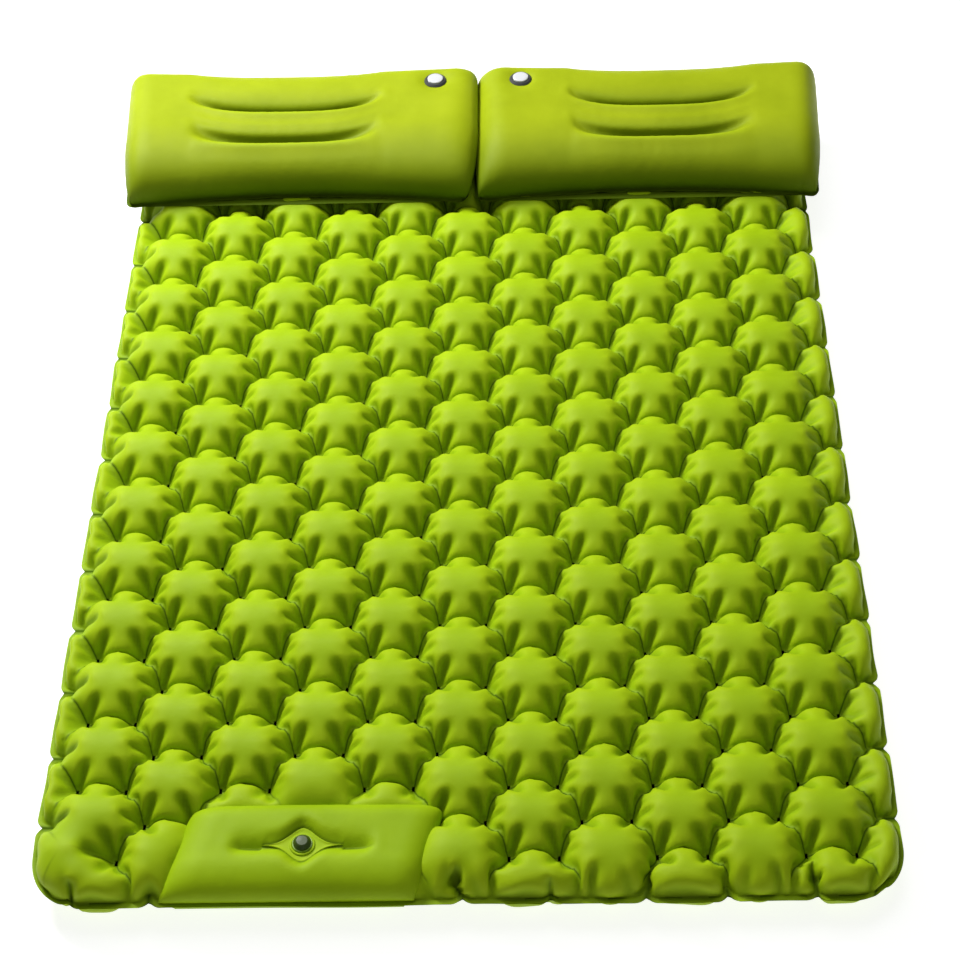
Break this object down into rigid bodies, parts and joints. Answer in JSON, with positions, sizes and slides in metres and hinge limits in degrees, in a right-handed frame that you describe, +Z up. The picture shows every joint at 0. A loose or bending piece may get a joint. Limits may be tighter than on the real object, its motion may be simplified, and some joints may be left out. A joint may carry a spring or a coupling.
{
  "type": "air mattress",
  "caption": "Double quilted camping air mattress with built-in pillows at the head, press valves, a foot pump with a plug at the foot and a capped deflation valve.",
  "frame": {"origin": "on the ground under the centre of the mattress, at the middle of its box", "axes": "+X across the mattress, to the right for someone looking from the foot to the head, +Y from the foot pump to the pillows, +Z up"},
  "size_m": [1.36, 2, 0.1985],
  "materials": {
    "green_fabric": "satin coated nylon",
    "green_plastic": "soft satin moulding",
    "valve_grey": "dark glossy moulding",
    "valve_silver": "pearl silver gloss",
    "silicone": "matte silicone",
    "foam": "open-cell foam",
    "spring_steel": "drawn wire"
  },
  "bodies": {
    "mattress": {"mattress_top_sheet": "green_fabric", "mattress_bottom_sheet": "green_fabric", "pump_chamber_wall": "green_fabric", "pump_foam": "foam", "pump_outlet_body": "green_plastic", "deflate_valve_neck": "green_plastic", "left_pillow_base": "green_fabric", "left_pillow_cover": "green_fabric", "left_valve_skirt": "green_plastic", "left_valve_housing": "valve_grey", "left_valve_spring": "spring_steel", "right_pillow_base": "green_fabric", "right_pillow_cover": "green_fabric", "right_valve_skirt": "green_plastic", "right_valve_housing": "valve_grey", "right_valve_spring": "spring_steel"},
    "left_button": {"left_valve_cap": "valve_silver", "left_valve_stem": "valve_grey", "left_valve_seal": "silicone"},
    "right_button": {"right_valve_cap": "valve_silver", "right_valve_stem": "valve_grey", "right_valve_seal": "silicone"},
    "pump_top": {"pump_cover": "green_fabric", "pump_valve_patch": "green_plastic", "pump_valve_seat": "green_plastic"},
    "pump_plug": {"pump_valve_plug": "green_plastic"},
    "inlet_flap": {"pump_inlet_flap": "silicone"},
    "outlet_flap": {"pump_outlet_flap": "silicone"},
    "deflate_cap": {"deflate_valve_cap": "green_plastic", "deflate_valve_washer": "silicone"}
  },
  "joints": [
    {"name": "left_valve_press", "type": "slide", "parent": "mattress", "child": "left_button", "axis": [0, 0, -1], "range_m": [0, 0.0035], "stiffness_N_per_m": 350, "springref_m": -0.004, "deforming": ["left_valve_spring"]},
    {"name": "right_valve_press", "type": "slide", "parent": "mattress", "child": "right_button", "axis": [0, 0, -1], "range_m": [0, 0.0035], "stiffness_N_per_m": 350, "springref_m": -0.004, "deforming": ["right_valve_spring"]},
    {"name": "pump_press", "type": "slide", "parent": "mattress", "child": "pump_top", "axis": [0, 0, -1], "range_m": [0, 0.036], "stiffness_N_per_m": 1500, "springref_m": -0.002, "deforming": ["pump_foam"]},
    {"name": "pump_plug_pull", "type": "slide", "parent": "pump_top", "child": "pump_plug", "axis": [0, 0, 1], "range_m": [0, 0.02]},
    {"name": "inlet_flap_swing", "type": "hinge", "parent": "pump_top", "child": "inlet_flap", "pos_m": [-0.252, -0.9, 0.0749], "axis": [1, 0, 0], "range_deg": [0, 40], "stiffness_Nm_per_rad": 0.002, "springref_deg": -11.46},
    {"name": "outlet_flap_swing", "type": "hinge", "parent": "mattress", "child": "outlet_flap", "pos_m": [-0.252, -0.8356, 0.029], "axis": [1, 0, 0], "range_deg": [0, 45]},
    {"name": "deflate_cap_open", "type": "hinge", "parent": "mattress", "child": "deflate_cap", "pos_m": [0.32, 0.9893, 0.0885], "axis": [1, 0, 0], "range_deg": [0, 100]}
  ]
}
